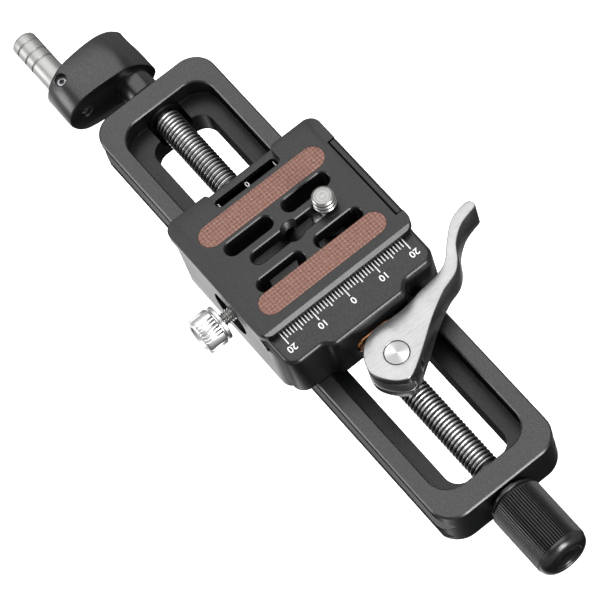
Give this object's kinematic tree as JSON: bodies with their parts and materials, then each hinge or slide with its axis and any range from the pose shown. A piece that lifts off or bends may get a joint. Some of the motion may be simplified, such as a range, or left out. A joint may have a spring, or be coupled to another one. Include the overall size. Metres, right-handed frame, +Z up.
{
  "type": "macro focusing rail",
  "caption": "Screw-driven macro focusing rail: a carriage on a dovetail rail, moved by a knob or a crank, with a lever clamp and a slotted camera plate.",
  "frame": {"origin": "middle of the rail's flat underside, on the lead screw's vertical plane", "axes": "+X along the rail toward the knurled knob, +Y across toward the plate's flip-up bar and the lever's tip, +Z up toward the camera"},
  "size_m": [0.2199, 0.0763, 0.0403],
  "materials": {
    "rail_black": "satin black anodised",
    "knob_black": "black anodised, straight knurl",
    "clamp_black": "satin black anodised",
    "plate_black": "satin black anodised, bright bevels",
    "bronze": "machined",
    "copper": "machined, burnished by the cam",
    "stainless": "turned",
    "fastener_steel": "machined",
    "handle_silver": "satin silver",
    "lever_brushed": "brushed and polished",
    "friction_strip": "woven friction rubber"
  },
  "bodies": {
    "rail": {"rail_frame": "rail_black", "rear_bushing": "rail_black", "front_bushing": "rail_black"},
    "carriage": {"carriage_body": "clamp_black", "drive_nut": "bronze", "nut_screws": "fastener_steel", "jaw_springs": "stainless", "tension_rod": "stainless", "rod_nut": "fastener_steel"},
    "screw_drive": {"lead_screw": "stainless", "knob_collar": "rail_black", "drive_knob": "knob_black", "knob_screw": "fastener_steel", "knob_end_cap": "knob_black", "crank_arm": "rail_black", "crank_set_screws": "fastener_steel", "handle_axle": "fastener_steel"},
    "handle": {"crank_handle": "handle_silver", "handle_cap": "handle_silver"},
    "lock_pusher": {"lock_shoe": "bronze"},
    "lock_screw": {"lock_thumbscrew": "handle_silver"},
    "lever": {"clamp_lever": "lever_brushed", "lever_pin": "stainless"},
    "jaw": {"movable_jaw": "clamp_black", "jaw_guide_pins": "stainless", "cam_pad": "copper"},
    "plate": {"plate_body": "plate_black", "rear_friction_strip": "friction_strip", "front_friction_strip": "friction_strip", "bar_hinge_pins": "fastener_steel"},
    "camera_screw_slider": {"screw_washer": "stainless"},
    "camera_screw_turner": {"camera_screw": "stainless"},
    "flip_bar": {"anti_twist_bar": "plate_black"}
  },
  "joints": [
    {"name": "screw_spin", "type": "hinge", "parent": "rail", "child": "screw_drive", "pos_m": [0, 0, 0.007], "axis": [1, 0, 0], "range_deg": [-13110, 15270]},
    {"name": "carriage_slide", "type": "slide", "parent": "rail", "child": "carriage", "axis": [1, 0, 0], "range_m": [-0.0455, 0.053]},
    {"name": "handle_spin", "type": "hinge", "parent": "screw_drive", "child": "handle", "pos_m": [-0.108, -0.01539, 0.00952], "axis": [1, 0, 0], "continuous": true},
    {"name": "shoe_press", "type": "slide", "parent": "carriage", "child": "lock_pusher", "axis": [0, 1, 0], "range_m": [-0.0006, 0.0003]},
    {"name": "lock_spin", "type": "hinge", "parent": "lock_pusher", "child": "lock_screw", "pos_m": [-0.0061, -0.03, 0.017], "axis": [0, 1, 0], "range_deg": [-312, 158]},
    {"name": "lever_swing", "type": "hinge", "parent": "carriage", "child": "lever", "pos_m": [0.0367, 0, 0.021], "axis": [0, 0, 1], "range_deg": [-130.2, 0]},
    {"name": "jaw_slide", "type": "slide", "parent": "carriage", "child": "jaw", "axis": [1, 0, 0], "range_m": [0, 0.0012]},
    {"name": "plate_slide", "type": "slide", "parent": "carriage", "child": "plate", "axis": [0, 1, 0], "range_m": [-0.02, 0.02]},
    {"name": "camera_screw_slide", "type": "slide", "parent": "plate", "child": "camera_screw_slider", "axis": [0, 1, 0], "range_m": [-0.022, 0]},
    {"name": "camera_screw_spin", "type": "hinge", "parent": "camera_screw_slider", "child": "camera_screw_turner", "pos_m": [-0.0052, 0.011, 0.0342], "axis": [0, 0, 1], "continuous": true},
    {"name": "bar_flip", "type": "hinge", "parent": "plate", "child": "flip_bar", "pos_m": [-0.005, 0.02395, 0.033], "axis": [1, 0, 0], "range_deg": [0, 180]}
  ],
  "couplings": [
    {"joint": "screw_spin", "follows": "carriage_slide", "rad_per_m": 5026.5},
    {"joint": "lock_spin", "follows": "shoe_press", "rad_per_m": 8976},
    {"joint": "lever_swing", "follows": "jaw_slide", "rad_per_m": -1893.9}
  ]
}
